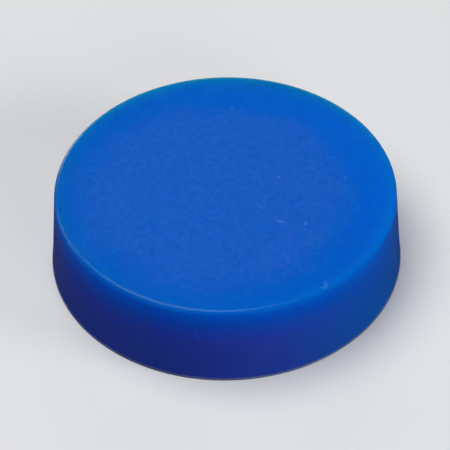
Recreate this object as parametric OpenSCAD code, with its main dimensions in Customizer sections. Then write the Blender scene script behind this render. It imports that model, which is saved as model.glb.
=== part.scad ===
// Ice hockey training puck: one solid disc, moulded in one piece.
// Origin at the centre of the base, +Z up through the upper face. Millimetres.

/* [Disc] */
// Diameter across the base, where the disc is widest
base_d = 76.2; // [60:0.1:90]
// Thickness from the base to the upper face
puck_h = 19.05; // [12:0.05:30]
// Lean of the side wall, in degrees from upright
draft_angle = 3.8; // [0.5:0.1:8]

/* [Edges] */
// Radius of the rounded rim of the upper face
rim_r = 0.95; // [0.4:0.05:3]
// How far the moulding lip stands out beyond the foot of the wall
lip_out = 0.15; // [0.05:0.05:0.4]
// Height of the moulding lip above the base
lip_h = 0.45; // [0.3:0.05:1]
// Radius that breaks both edges of the moulding lip
lip_edge_r = 0.1; // [0.02:0.01:0.14]

/* [Colour] */
// Colour of the moulding
puck_colour = "#0F5BBC"; // ["#0F5BBC":blue, "#141414":black, "#E8731A":orange]

/* [Hidden] */
$fn = 180;

base_r = base_d / 2;
// Foot of the drafted wall, just inside the lip
wall_foot_r = base_r - lip_out;
// Centre of the rim's rounding, which touches both the wall and the upper face
rim_centre_z = puck_h - rim_r;
rim_centre_r = wall_foot_r - rim_centre_z * tan(draft_angle) - rim_r / cos(draft_angle);
// The wall's outline ends this far inside the rounding, so the two shapes overlap cleanly
overlap = 0.0002;
wall_end_r = rim_centre_r + (rim_r - overlap) * cos(draft_angle);
wall_end_z = rim_centre_z + (rim_r - overlap) * sin(draft_angle);
// Centre radius of the lip's two edge roundings
lip_edge_centre_r = base_r - lip_edge_r;

// Half outline of the drafted disc, up to where the rim's rounding takes over
module disc_outline() {
    polygon([
        [0, 0],
        [wall_foot_r, 0],
        [wall_end_r, wall_end_z],
        [rim_centre_r, puck_h],
        [0, puck_h]
    ]);
}

// Round section of the rim of the upper face
module rim_outline() {
    translate([rim_centre_r, rim_centre_z])
        circle(r = rim_r);
}

// Half outline of the lip that the mould's parting face leaves around the base
module lip_outline() {
    square([lip_edge_centre_r, lip_h]);
    translate([0, lip_edge_r])
        square([base_r, lip_h - 2 * lip_edge_r]);
    for (z = [lip_edge_r, lip_h - lip_edge_r])
        translate([lip_edge_centre_r, z])
            circle(r = lip_edge_r);
}

module puck() {
    color(puck_colour)
        rotate_extrude()
            union() {
                disc_outline();
                rim_outline();
                lip_outline();
            }
}

puck();
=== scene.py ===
import math
from types import SimpleNamespace

import bpy
from mathutils import Matrix, Vector, noise


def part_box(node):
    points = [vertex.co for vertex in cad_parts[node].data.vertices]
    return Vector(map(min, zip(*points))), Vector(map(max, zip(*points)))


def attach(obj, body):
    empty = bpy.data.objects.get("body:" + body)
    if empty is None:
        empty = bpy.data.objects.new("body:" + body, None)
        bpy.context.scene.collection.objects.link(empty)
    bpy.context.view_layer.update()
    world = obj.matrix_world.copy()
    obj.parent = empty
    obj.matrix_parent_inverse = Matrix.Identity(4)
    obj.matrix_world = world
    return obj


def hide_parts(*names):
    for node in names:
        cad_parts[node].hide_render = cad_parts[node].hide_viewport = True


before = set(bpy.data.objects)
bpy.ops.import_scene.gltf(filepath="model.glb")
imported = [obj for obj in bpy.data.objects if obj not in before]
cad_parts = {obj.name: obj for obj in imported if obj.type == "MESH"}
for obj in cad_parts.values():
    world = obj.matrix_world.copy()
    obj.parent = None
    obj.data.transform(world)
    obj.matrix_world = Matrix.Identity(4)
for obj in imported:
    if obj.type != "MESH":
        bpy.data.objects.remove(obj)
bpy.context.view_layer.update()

MM = 0.001

# ---------------------------------------------------------------- sizes, from the frame and the drawing

puck_lo, puck_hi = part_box("puck")
BASE_R = (puck_hi.x - puck_lo.x) / 2
PUCK_H = puck_hi.z - puck_lo.z
CENTRE = (puck_lo + puck_hi) / 2

DRAFT = math.radians(3.8)
RIM_R = 0.95 * MM
LIP_OUT = 0.15 * MM
LIP_H = 0.45 * MM
LIP_EDGE_R = 0.1 * MM
FOOT_R = BASE_R - LIP_OUT

# Centre of the rim's rounding in the half outline
RIM_Z = PUCK_H - RIM_R
RIM_X = FOOT_R - RIM_Z * math.tan(DRAFT) - RIM_R / math.cos(DRAFT)

# Small radius where the lip's upper side runs into the wall
FILLET_R = 0.12 * MM
# How far the base flat ends inside the widest radius
BASE_INSET = LIP_EDGE_R * 1.6

# How far cooling moved the surfaces from the drawing
TOP_SINK = 0.05 * MM
BASE_SINK = 0.04 * MM
SLOW_WAVE = 0.03 * MM
FINE_WAVE = 0.006 * MM
# Slack in telling which flat a point is on
LEVEL_SLACK = 0.001 * MM

# ---------------------------------------------------------------- marks of use

# A small chip where the upper face meets the rim, right of the front
CHIP_ANGLE = math.radians(-90 + 34.5)
CHIP_R = RIM_X + 0.1 * MM
CHIP_PLACE = Vector((CHIP_R * math.cos(CHIP_ANGLE), CHIP_R * math.sin(CHIP_ANGLE), PUCK_H - 0.05 * MM))
CHIP_LENGTH = 2.0 * MM
CHIP_HALF_WIDTH = 0.55 * MM
CHIP_DEPTH = 0.13 * MM

# Distance between cells that may each hold one pale speck, in millimetres
SPECK_SPACING = 3.4

# Pale nicks on the upper face: x, y, direction in degrees, length and width, in millimetres
NICKS = (
    (11.5, -10.1, -26, 2.1, 0.7),
    (16.9, -10.8, 80, 1.3, 0.6),
    (11.5, 3.6, 10, 0.9, 0.5),
    (25.9, 2.9, 60, 0.8, 0.45),
    (1.9, 25.7, 25, 0.8, 0.45),
    (20.0, -30.0, 0, 1.6, 0.5),
    (20.3, -28.9, 88, 2.3, 0.4),
)

# Families of faint straight scuffs: turn in radians, length and width in millimetres, level of the cut
SCUFFS = (
    (0.35, 17, 0.2, 0.69),
    (1.25, 12, 0.16, 0.7),
    (2.3, 22, 0.24, 0.7),
)

# ---------------------------------------------------------------- mesh of the moulding

SEGMENTS = 512
# Steps along each rounding of the outline, and rows up the wall
LIP_STEPS = 5
FILLET_STEPS = 3
RIM_STEPS = 12
WALL_ROWS = 34
# A cap is a rounded square core of quads, then rings out to the edge
CORE_CELLS = SEGMENTS // 4
CORE_SHARE = 0.62
CORE_SQUARENESS = 0.8
CAP_RINGS = 26


def outline():
    """Half outline from the base flat's edge round to the upper flat's, as (radius, height, is_lip)."""
    points = []
    lip_x = BASE_R - LIP_EDGE_R
    for i in range(1, LIP_STEPS + 1):
        a = math.radians(90 * i / LIP_STEPS)
        points.append((lip_x + LIP_EDGE_R * math.sin(a), LIP_EDGE_R * (1 - math.cos(a)), True))
    for i in range(LIP_STEPS + 1):
        a = math.radians(90 * i / LIP_STEPS)
        x = lip_x + LIP_EDGE_R * math.cos(a)
        points.append((x, LIP_H - LIP_EDGE_R + LIP_EDGE_R * math.sin(a), True))
    for i in range(FILLET_STEPS + 1):
        a = math.radians(90 * i / FILLET_STEPS)
        x = FOOT_R - LIP_H * math.tan(DRAFT) + FILLET_R * (1 - math.sin(a))
        points.append((x, LIP_H + FILLET_R * (1 - math.cos(a)), False))
    wall_top_x = RIM_X + RIM_R * math.cos(DRAFT)
    wall_top_z = RIM_Z + RIM_R * math.sin(DRAFT)
    first_x, first_z, _ = points[-1]
    for i in range(1, WALL_ROWS):
        t = i / WALL_ROWS
        x = first_x + (wall_top_x - first_x) * t
        points.append((x, first_z + (wall_top_z - first_z) * t, False))
    for i in range(RIM_STEPS + 1):
        a = DRAFT + (math.pi / 2 - DRAFT) * i / RIM_STEPS
        points.append((RIM_X + RIM_R * math.cos(a), RIM_Z + RIM_R * math.sin(a), False))
    return points


def core_point(u, v):
    """A point of the unit square moved onto a rounded square, so that a cap is all quads with no pole."""
    m = max(abs(u), abs(v))
    if m == 0:
        return 0.0, 0.0
    if abs(u) >= abs(v):
        a = math.pi / 4 * v / u
        cx, cy = u * math.cos(a), u * math.sin(a)
    else:
        a = math.pi / 4 * u / v
        cx, cy = v * math.sin(a), v * math.cos(a)
    roundness = 0.5 * m
    x = u * CORE_SQUARENESS * (1 - roundness) + cx * roundness
    y = v * CORE_SQUARENESS * (1 - roundness) + cy * roundness
    return x, y


def add_cap(verts, faces, radius, z, up, rim_ring):
    """An all-quad disc at height z that ends on the ring of vertex numbers rim_ring, angle by angle."""
    n = CORE_CELLS
    number = {}
    for j in range(n + 1):
        for i in range(n + 1):
            x, y = core_point(2 * i / n - 1, 2 * j / n - 1)
            number[i, j] = len(verts)
            verts.append(Vector((x * radius * CORE_SHARE, y * radius * CORE_SHARE, z)))
    flip = not up

    def quad(a, b, c, d):
        faces.append((d, c, b, a) if flip else (a, b, c, d))

    for j in range(n):
        for i in range(n):
            quad(number[i, j], number[i + 1, j], number[i + 1, j + 1], number[i, j + 1])
    # The core's edge, counter-clockwise from the middle of its +X side
    half = n // 2
    edge = [number[n, half + k] for k in range(half)]
    edge += [number[n - k, n] for k in range(n)]
    edge += [number[0, n - k] for k in range(n)]
    edge += [number[k, 0] for k in range(n)]
    edge += [number[n, k] for k in range(half)]
    last = edge
    for r in range(1, CAP_RINGS + 1):
        t = r / CAP_RINGS
        if r == CAP_RINGS:
            ring = rim_ring
        else:
            ring = []
            for k, start in enumerate(edge):
                a = 2 * math.pi * k / SEGMENTS
                end = Vector((radius * math.cos(a), radius * math.sin(a), z))
                ring.append(len(verts))
                verts.append(verts[start].lerp(end, t))
        for k in range(SEGMENTS):
            m = (k + 1) % SEGMENTS
            quad(last[k], ring[k], ring[m], last[m])
        last = ring


def lip_scale(a):
    """How much of the lip is left at an angle: the flash was trimmed by hand, so it varies a little."""
    p = Vector((math.cos(a) * 3.1, math.sin(a) * 3.1, 4.7))
    fine = Vector((math.cos(a) * 17, math.sin(a) * 17, 1.3))
    return 0.78 + 0.2 * noise.noise(p) + 0.12 * noise.noise(fine)


def wave(p, size, seed):
    """Smooth noise from 0 to 1, with bumps about size apart."""
    return 0.5 + 0.5 * noise.noise(p / size + Vector((seed, seed, seed)))


def settle(p):
    """Move a point inwards as cooling and use have: faint sink, slow waves and the chip in the rim."""
    radius = math.hypot(p.x, p.y)
    inside = max(0.0, 1 - (radius / RIM_X) ** 2)
    q = p.copy()
    if p.z > PUCK_H - LEVEL_SLACK:
        sink = TOP_SINK + SLOW_WAVE * wave(p, 14 * MM, 3.1)
        q.z -= inside * sink + FINE_WAVE * wave(p, 5 * MM, 8.4)
    elif p.z < LEVEL_SLACK:
        q.z += inside * (BASE_SINK + SLOW_WAVE * wave(p, 12 * MM, 5.7))
    elif p.z > LIP_H and radius > 0:
        inwards = SLOW_WAVE * wave(p, 9 * MM, 1.9)
        q.x *= 1 - inwards / radius
        q.y *= 1 - inwards / radius
    offset = p - CHIP_PLACE
    along = offset.dot(Vector((-math.sin(CHIP_ANGLE), math.cos(CHIP_ANGLE), 0)))
    across = math.sqrt(max(0.0, offset.length_squared - along * along))
    reach = (along / (CHIP_LENGTH / 2)) ** 2 + (across / CHIP_HALF_WIDTH) ** 2
    if reach < 1:
        ragged = 0.55 + 0.9 * wave(p, 0.5 * MM, 6.3)
        bite = CHIP_DEPTH * (1 - reach) * min(1.0, ragged)
        q -= Vector((math.cos(CHIP_ANGLE), math.sin(CHIP_ANGLE), 1)).normalized() * bite
    return q


def moulding():
    verts, faces = [], []
    rings = []
    for x, z, is_lip in outline():
        ring = []
        for k in range(SEGMENTS):
            a = 2 * math.pi * k / SEGMENTS
            r = x
            if is_lip:
                r = FOOT_R + (x - FOOT_R) * min(1.0, lip_scale(a))
            ring.append(len(verts))
            verts.append(Vector((r * math.cos(a), r * math.sin(a), z)))
        rings.append(ring)
    base_r = BASE_R - BASE_INSET
    base_ring = []
    for k in range(SEGMENTS):
        a = 2 * math.pi * k / SEGMENTS
        base_ring.append(len(verts))
        verts.append(Vector((base_r * math.cos(a), base_r * math.sin(a), 0.0)))
    rings.insert(0, base_ring)
    for low, high in zip(rings, rings[1:]):
        for k in range(SEGMENTS):
            m = (k + 1) % SEGMENTS
            faces.append((low[k], low[m], high[m], high[k]))
    add_cap(verts, faces, base_r, 0.0, False, rings[0])
    add_cap(verts, faces, RIM_X, PUCK_H, True, rings[-1])
    mesh = bpy.data.meshes.new("moulded_disc")
    mesh.from_pydata([settle(p) for p in verts], [], faces)
    mesh.validate()
    mesh.update()
    for p in mesh.polygons:
        p.use_smooth = True
    obj = bpy.data.objects.new("moulded_disc", mesh)
    bpy.context.collection.objects.link(obj)
    return obj


# ---------------------------------------------------------------- small helpers for node trees


def add(tree, kind, sockets=None, **settings):
    """Add a node, set its settings, then its input sockets: a socket value is linked, any other is set."""
    node = tree.nodes.new(kind)
    for name, value in settings.items():
        setattr(node, name, value)
    for key, value in (sockets or {}).items():
        if isinstance(value, bpy.types.NodeSocket):
            tree.links.new(value, node.inputs[key])
        else:
            node.inputs[key].default_value = value
    return node


def calc(tree, operation, a, b=0.0, c=0.0):
    return add(tree, "ShaderNodeMath", {0: a, 1: b, 2: c}, operation=operation).outputs[0]


def ramp(tree, value, low, high, start=0.0, end=1.0):
    """Smooth step of value: start at low, end at high."""
    sockets = {"Value": value, 1: low, 2: high, 3: start, 4: end}
    return add(tree, "ShaderNodeMapRange", sockets, interpolation_type="SMOOTHSTEP").outputs[0]


def grain(tree, place, size, detail=2.0, roughness=0.5):
    """Noise from about 0 to 1 with features of the given size in millimetres."""
    sockets = {"Vector": place, "Scale": 1 / size, "Detail": detail, "Roughness": roughness}
    return add(tree, "ShaderNodeTexNoise", sockets).outputs[0]


def stretched(tree, place, scale, turn=0.0):
    """Place turned about Z and divided by a size per axis in millimetres, for grain that runs in lines."""
    turned = add(tree, "ShaderNodeVectorRotate", {"Vector": place, "Angle": turn}, rotation_type="Z_AXIS")
    sockets = {0: turned.outputs[0], 1: tuple(1 / s for s in scale)}
    return add(tree, "ShaderNodeVectorMath", sockets, operation="MULTIPLY").outputs[0]


def blend(tree, factor, a, b):
    mix = add(tree, "ShaderNodeMix", data_type="RGBA")
    for socket, value in ((mix.inputs[0], factor), (mix.inputs[6], a), (mix.inputs[7], b)):
        if isinstance(value, bpy.types.NodeSocket):
            tree.links.new(value, socket)
        else:
            socket.default_value = value
    return mix.outputs[2]


def streak(tree, place, centre, turn, length, width):
    """1 inside a small long spot round centre, 0 outside it, with a soft edge. Millimetres."""
    offset = add(tree, "ShaderNodeVectorMath", {0: place, 1: centre}, operation="SUBTRACT").outputs[0]
    scaled = stretched(tree, offset, (length / 2, width / 2, 0.6), -turn)
    distance = add(tree, "ShaderNodeVectorMath", {0: scaled}, operation="LENGTH").outputs["Value"]
    return ramp(tree, distance, 1.2, 0.5)


# ---------------------------------------------------------------- materials

# Where the face is cleanest and where its painted glow lies: towards the back right
CLEAN_AND_LIT_SIDE = (0.75, 0.66, 0)
CLEAN_BLUE = (0.0, 0.11, 0.535, 1)
# Painted light: a brighter blue near the back right rim, for light glowing through from the lit back and
# right walls
PAINTED_GLOW_BLUE = (0.0, 0.117, 0.605, 1)
# A thin haze, partly a bloom on the face and partly a painted sheen of reflected light
HAZE_AND_SHEEN_BLUE = (0.0118, 0.112, 0.53, 1)
# Painted shade: a duller, darker violet blue for the shaded lower wall
WALL_SHADE_BLUE = (0.029, 0.07, 0.53, 1)
WORN_BLUE = (0.06, 0.17, 0.58, 1)
MARK_BLUE = (0.017, 0.135, 0.61, 1)
# Painted highlight: a paler blue along the lip at the foot, for the light it catches
LIP_HIGHLIGHT_BLUE = (0.2, 0.26, 0.48, 1)
# Roughness of the plain moulding, before grain, haze and wear
SATIN = 0.2
# How far light travels inside, near the foot and from mid-height up
FOOT_REACH = 2.5 * MM
TOP_REACH = 32 * MM


def surface(tree):
    """What the material knows of a point: its place, what part of the moulding it is on, and grain."""
    in_metres = add(tree, "ShaderNodeTexCoord").outputs["Object"]
    place = add(tree, "ShaderNodeVectorMath", {0: in_metres, "Scale": 1 / MM}, operation="SCALE")
    place = place.outputs[0]
    axes = add(tree, "ShaderNodeSeparateXYZ", {0: place})
    height = axes.outputs["Z"]
    level = add(tree, "ShaderNodeVectorMath", {0: place, 1: (1, 1, 0)}, operation="MULTIPLY")
    radius = add(tree, "ShaderNodeVectorMath", {0: level.outputs[0]}, operation="LENGTH")
    down_wall = calc(tree, "SUBTRACT", RIM_Z / MM, height)
    clean_and_lit_side = add(tree, "ShaderNodeVectorMath", {0: place, 1: CLEAN_AND_LIT_SIDE}, operation="DOT_PRODUCT")
    clean_and_lit_side = clean_and_lit_side.outputs["Value"]
    cloud = grain(tree, place, 1.5, 4, 0.6)

    # The band near the rim is clear of the haze and its painted sheen, and reaches farther in on the clean
    # and lit side
    band = calc(tree, "MULTIPLY_ADD", grain(tree, place, 12, 2), 9.0, cloud)
    from_middle = calc(tree, "MULTIPLY_ADD", clean_and_lit_side, 0.11, radius.outputs["Value"])
    band = calc(tree, "ADD", band, from_middle)
    return SimpleNamespace(
        place=place,
        x=axes.outputs["X"],
        height=height,
        down_wall=down_wall,
        is_wall=ramp(tree, down_wall, -0.6, 0.4),
        is_base=ramp(tree, height, 0.12, 0.0),
        clean_and_lit_side=clean_and_lit_side,
        clean=ramp(tree, band, 28.0, 38.0),
        cloud=cloud,
        fine=grain(tree, place, 0.55, 2),
    )


def straight_scuffs(tree, place):
    """Faint straight scuffs in a few directions, from sliding on its faces."""
    scuffs = 0.0
    for turn, length, width, cut in SCUFFS:
        lines = grain(tree, stretched(tree, place, (length, width, 4), turn), 1, 2, 0.45)
        scuffs = calc(tree, "MAXIMUM", scuffs, ramp(tree, lines, cut, cut + 0.06))
    return calc(tree, "MULTIPLY", scuffs, ramp(tree, grain(tree, place, 8, 1), 0.4, 0.65))


def pale_specks(tree, place):
    """Sparse pale specks of several sizes, at most one to a cell."""
    cells = add(tree, "ShaderNodeTexVoronoi", {"Vector": place, "Scale": 1 / SPECK_SPACING})
    chosen = add(tree, "ShaderNodeSeparateColor", {0: cells.outputs["Color"]})
    size = ramp(tree, chosen.outputs[0], 0.55, 1.0, 0.0, 0.05)
    dot = ramp(tree, calc(tree, "SUBTRACT", cells.outputs["Distance"], size), 0.02, -0.02)
    specks = calc(tree, "MULTIPLY", dot, ramp(tree, chosen.outputs[1], 0.5, 0.9))
    return calc(tree, "MULTIPLY", specks, 0.5)


def marks_of_use(tree, at):
    """Scuffs, specks and nicks, and how worn and how marked the surface is in all."""
    scuffs = straight_scuffs(tree, at.place)
    specks = pale_specks(tree, at.place)
    nicks = 0.0
    for x, y, angle, length, width in NICKS:
        mark = streak(tree, at.place, (x, y, PUCK_H / MM), math.radians(angle), length, width)
        nicks = calc(tree, "MAXIMUM", nicks, mark)
    along_rim = CHIP_ANGLE + math.pi / 2
    chip = streak(tree, at.place, tuple(CHIP_PLACE / MM), along_rim, CHIP_LENGTH / MM, 0.7)
    chip = calc(tree, "MULTIPLY", chip, ramp(tree, at.fine, 0.4, 0.6, 0.3, 1.0))
    worn = calc(tree, "MULTIPLY", scuffs, 0.14)
    worn = calc(tree, "MAXIMUM", worn, calc(tree, "MULTIPLY", specks, 0.3))
    marks = calc(tree, "MAXIMUM", nicks, calc(tree, "MULTIPLY", chip, 0.4))
    return SimpleNamespace(scuffs=scuffs, specks=specks, nicks=nicks, worn=worn, marks=marks)


def moulding_colour(tree, at, use):
    """Clean near the rim; a thin haze over the face that is partly a painted sheen; a painted glow near
    the back right rim; painted shade down the wall, most on its left and front; a paler lip that is a
    painted highlight.
    """
    # Haze over the face: partly a bloom, partly a painted sheen of reflected light
    haze_and_sheen = calc(tree, "SUBTRACT", 1.0, at.clean)
    haze_and_sheen = calc(tree, "MULTIPLY", haze_and_sheen, ramp(tree, at.cloud, 0.4, 0.62, 0.55, 1.0))
    # Painted glow near the back right rim, for light glowing through from the lit walls there
    painted_glow = calc(tree, "MULTIPLY", at.clean, ramp(tree, at.clean_and_lit_side, 0.0, 34.0))
    face = blend(tree, haze_and_sheen, CLEAN_BLUE, HAZE_AND_SHEEN_BLUE)
    face = blend(tree, painted_glow, face, PAINTED_GLOW_BLUE)
    # Painted shade down the wall, strongest on the left and front, faint on the lit right side
    off_right = ramp(tree, at.x, 34.0, 2.0, 0.15)
    painted_wall_shade = calc(tree, "MULTIPLY", ramp(tree, at.down_wall, 0.5, 8.5), off_right)
    wall = blend(tree, painted_wall_shade, CLEAN_BLUE, WALL_SHADE_BLUE)
    colour = blend(tree, at.is_wall, face, wall)
    shade = calc(tree, "MULTIPLY_ADD", at.fine, 0.38, 0.81)
    shade = calc(tree, "MULTIPLY", shade, calc(tree, "MULTIPLY_ADD", at.cloud, 0.08, 0.96))
    toned = add(tree, "ShaderNodeVectorMath", {0: colour, "Scale": shade}, operation="SCALE")
    colour = blend(tree, use.worn, toned.outputs[0], WORN_BLUE)
    colour = blend(tree, use.marks, colour, MARK_BLUE)
    # Painted highlight along the lip, speckled by the fine grain
    on_lip = ramp(tree, at.height, LIP_H / MM + 0.15, LIP_H / MM - 0.1)
    on_lip = calc(tree, "MULTIPLY", on_lip, ramp(tree, at.fine, 0.3, 0.6, 0.6, 0.95))
    return blend(tree, on_lip, colour, LIP_HIGHLIGHT_BLUE)


def moulding_roughness(tree, at, use):
    """Satin: duller away from the clean blue, where marked, and on the base."""
    rough = SATIN
    for pattern, amount in (
        (at.cloud, 0.05),
        (at.fine, 0.03),
        (at.clean, -0.03),
        (calc(tree, "MAXIMUM", use.worn, use.marks), 0.25),
        (at.is_base, 0.08),
    ):
        rough = calc(tree, "MULTIPLY_ADD", pattern, amount, rough)
    return rough


def moulding_relief(tree, at, use):
    """Surface texture of the mould and the marks, each with its height in millimetres."""
    pores = grain(tree, at.place, 0.22, 1)
    draw_marks = grain(tree, stretched(tree, at.place, (0.8, 0.8, 14)), 1, 2)
    relief = calc(tree, "MULTIPLY", pores, 0.0035)
    for pattern, height in (
        (at.fine, 0.007),
        (at.cloud, 0.009),
        (calc(tree, "MULTIPLY", draw_marks, at.is_wall), 0.008),
        (use.scuffs, -0.006),
        (use.specks, 0.012),
        (use.nicks, -0.03),
    ):
        relief = calc(tree, "MULTIPLY_ADD", pattern, height, relief)
    return add(tree, "ShaderNodeBump", {"Height": relief, "Strength": 1.0, "Distance": MM}).outputs[0]


def blue_moulding():
    mat = bpy.data.materials.new("blue_moulding")
    mat.use_nodes = True
    tree = mat.node_tree
    shader = tree.nodes["Principled BSDF"]
    at = surface(tree)
    use = marks_of_use(tree, at)
    tree.links.new(moulding_colour(tree, at, use), shader.inputs["Base Color"])
    tree.links.new(moulding_roughness(tree, at, use), shader.inputs["Roughness"])
    tree.links.new(moulding_relief(tree, at, use), shader.inputs["Normal"])

    # Light travels far in the moulding, farthest in blue, and least near the foot
    reach = ramp(tree, at.height, 0.4, 11.0, FOOT_REACH, TOP_REACH)
    tree.links.new(reach, shader.inputs["Subsurface Scale"])
    shader.subsurface_method = "RANDOM_WALK"
    shader.inputs["Subsurface Weight"].default_value = 1.0
    shader.inputs["Subsurface Radius"].default_value = (0.4, 0.6, 1.0)
    shader.inputs["IOR"].default_value = 1.45
    shader.inputs["Specular IOR Level"].default_value = 0.14
    return mat


# The floor as the camera sees it, near and far, and as the puck's own light rays find it
FLOOR_DARKER = (0.72, 0.73, 0.745, 1)
FLOOR_PALER = (0.76, 0.77, 0.78, 1)
FLOOR_GLOW = (0.71, 0.72, 0.735, 1)
FLOOR_TO_PUCK = (0.06, 0.06, 0.065, 1)


def pale_floor():
    """Pale to the camera and dark to the puck, so that the floor throws little light up its wall."""
    mat = bpy.data.materials.new("pale_floor")
    mat.use_nodes = True
    tree = mat.node_tree
    tree.nodes.remove(tree.nodes["Principled BSDF"])
    coord = add(tree, "ShaderNodeTexCoord")
    place = coord.outputs["Object"]
    distance = add(tree, "ShaderNodeVectorMath", {0: place}, operation="LENGTH").outputs["Value"]
    seen_colour = blend(tree, grain(tree, place, 0.03, 3), FLOOR_DARKER, FLOOR_PALER)
    seen = add(tree, "ShaderNodeBsdfDiffuse", {"Color": seen_colour})
    # The softboxes fade with distance, so the far floor and the backdrop glow as pale as the near floor
    glow = add(tree, "ShaderNodeEmission", {"Color": FLOOR_GLOW})
    far = ramp(tree, distance, 0.12, 0.5)
    pale = add(tree, "ShaderNodeMixShader", {0: far, 1: seen.outputs[0], 2: glow.outputs[0]})
    given = add(tree, "ShaderNodeBsdfDiffuse", {"Color": FLOOR_TO_PUCK})
    to_camera = add(tree, "ShaderNodeLightPath").outputs["Is Camera Ray"]
    mix = add(tree, "ShaderNodeMixShader", {0: to_camera, 1: given.outputs[0], 2: pale.outputs[0]})
    tree.links.new(mix.outputs[0], tree.nodes["Material Output"].inputs["Surface"])
    return mat


# ---------------------------------------------------------------- the piece

disc = moulding()
disc.data.materials.append(blue_moulding())
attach(disc, "root")
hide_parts("puck")

# ---------------------------------------------------------------- stage, light and camera


FLOOR_R = 1.6
FLOOR_BEND_R = 0.9
FLOOR_BEND_STEPS = 12
BACKDROP_TOP = 2.4
FLOOR_SIDES = 96
# The floor lies this far below the base
FLOOR_GAP = 0.02 * MM


def studio_floor():
    """A flat floor that bends up into a round backdrop."""
    profile = [(FLOOR_R, 0.0)]
    for i in range(1, FLOOR_BEND_STEPS + 1):
        a = math.radians(90 * i / FLOOR_BEND_STEPS)
        profile.append((FLOOR_R + FLOOR_BEND_R * math.sin(a), FLOOR_BEND_R * (1 - math.cos(a))))
    profile.append((FLOOR_R + FLOOR_BEND_R, BACKDROP_TOP))
    verts, faces = [], []
    for r, z in profile:
        for k in range(FLOOR_SIDES):
            a = 2 * math.pi * k / FLOOR_SIDES
            verts.append((r * math.cos(a), r * math.sin(a), z - FLOOR_GAP))
    for i in range(len(profile) - 1):
        low = i * FLOOR_SIDES
        high = low + FLOOR_SIDES
        for k in range(FLOOR_SIDES):
            m = (k + 1) % FLOOR_SIDES
            faces.append((low + k, low + m, high + m, high + k))
    faces.append(tuple(range(FLOOR_SIDES)))
    mesh = bpy.data.meshes.new("floor")
    mesh.from_pydata(verts, [], faces)
    for p in mesh.polygons[:-1]:
        p.use_smooth = True
    obj = bpy.data.objects.new("floor", mesh)
    bpy.context.collection.objects.link(obj)
    obj.data.materials.append(pale_floor())


LIGHT_DISTANCE = 1.0


def direction(azimuth, elevation):
    """Unit vector from the puck. Azimuth 0 is towards the camera's side (-Y), 90 is towards +X."""
    a, e = math.radians(azimuth), math.radians(elevation)
    return Vector((math.sin(a) * math.cos(e), -math.cos(a) * math.cos(e), math.sin(e)))


def softbox(name, azimuth, elevation, width, height, power, glossy=True, diffuse=True):
    """A soft light aimed at the puck. Without glossy it makes no highlight; without diffuse, only that."""
    light = bpy.data.lights.new(name, "AREA")
    light.shape = "RECTANGLE"
    light.size, light.size_y = width, height
    light.energy = power
    obj = bpy.data.objects.new(name, light)
    back = direction(azimuth, elevation)
    obj.location = CENTRE + back * LIGHT_DISTANCE
    obj.rotation_euler = back.to_track_quat("Z", "Y").to_euler()
    obj.visible_camera = False
    obj.visible_glossy = glossy
    obj.visible_diffuse = diffuse
    bpy.context.collection.objects.link(obj)


studio_floor()
softbox("overhead", 270, 74, 1.05, 0.85, 10.3)
softbox("front", 28, 22, 0.35, 0.3, 1.8, glossy=False)
softbox("right", 70, 20, 0.35, 0.3, 3.7, glossy=False)
softbox("left", 246, 21, 0.38, 0.45, 1.9, diffuse=False)
softbox("back_left", 206, 14, 0.32, 0.34, 2.5, diffuse=False)
softbox("back", 178, 21, 0.5, 0.24, 1.2)

world = bpy.data.worlds.new("studio")
world.use_nodes = True
world.node_tree.nodes["Background"].inputs["Color"].default_value = (0.02, 0.02, 0.02, 1)
bpy.context.scene.world = world
bpy.context.scene.view_settings.view_transform = "Standard"

# The camera looks down from in front, through a long lens, turned a degree about its own axis
CAMERA_DISTANCE = 0.6
CAMERA_ELEVATION = 44.41
CAMERA_ROLL = math.radians(-1.07)
CAMERA_LENS = 221.7
AIM_DOWN = 0.91 * MM
AIM_LEFT = 0.19 * MM

back = direction(0, CAMERA_ELEVATION)
turn = back.to_track_quat("Z", "Y").to_matrix() @ Matrix.Rotation(CAMERA_ROLL, 3, "Z")
camera = bpy.data.objects.new("camera", bpy.data.cameras.new("camera"))
camera.data.lens = CAMERA_LENS
camera.data.sensor_width = 36
camera.data.clip_start = 0.05
camera.data.clip_end = 20
camera.location = CENTRE + back * CAMERA_DISTANCE - turn @ Vector((AIM_LEFT, AIM_DOWN, 0))
camera.rotation_euler = turn.to_euler()
bpy.context.collection.objects.link(camera)
bpy.context.scene.camera = camera
